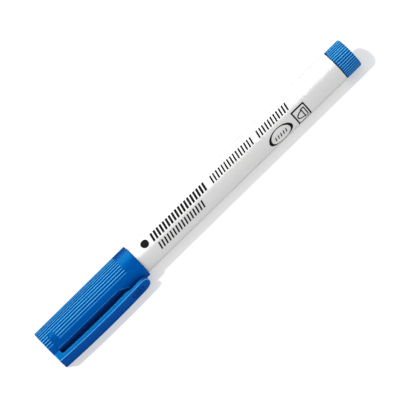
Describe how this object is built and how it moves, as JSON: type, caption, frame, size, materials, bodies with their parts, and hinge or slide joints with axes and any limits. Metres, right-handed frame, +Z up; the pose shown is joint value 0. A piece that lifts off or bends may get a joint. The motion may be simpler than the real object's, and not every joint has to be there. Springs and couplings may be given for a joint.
{
  "type": "felt tip marker",
  "caption": "Slim felt tip marker with a ribbed push-on cap, moulded pocket clip, fibre ink reservoir and ribbed end plug.",
  "frame": {"origin": "centre of the bounding box, at its bottom, on the surface that the marker lies on", "axes": "+X along the marker from the cap's closed end to the end plug, +Z up, and the pocket clip on the -Y side with its lower edge on the surface"},
  "size_m": [0.14, 0.016, 0.0128],
  "materials": {
    "barrel_white": "satin moulded plastic",
    "inked_felt": "matte felt soaked with ink",
    "reservoir_fibre": "matte fibre",
    "wrap_film": "glossy film",
    "plug_blue": "satin moulded plastic",
    "cap_blue": "satin moulded plastic",
    "liner_blue": "satin moulded plastic"
  },
  "bodies": {
    "barrel": {"barrel": "barrel_white", "front_section": "barrel_white", "nib": "inked_felt", "ink_reservoir": "reservoir_fibre", "reservoir_wrap": "wrap_film", "end_plug": "plug_blue"},
    "cap": {"cap_shell": "cap_blue", "cap_liner": "liner_blue"},
    "clip": {"pocket_clip": "cap_blue"}
  },
  "joints": [
    {"name": "cap_pull", "type": "slide", "parent": "barrel", "child": "cap", "axis": [-1, 0, 0], "range_m": [0, 0.05]},
    {"name": "clip_flex", "type": "hinge", "parent": "cap", "child": "clip", "pos_m": [-0.06745, -0.00563, 0.00398], "axis": [0, 0.3178, -0.9481], "range_deg": [0, 6], "stiffness_Nm_per_rad": 1.2}
  ]
}
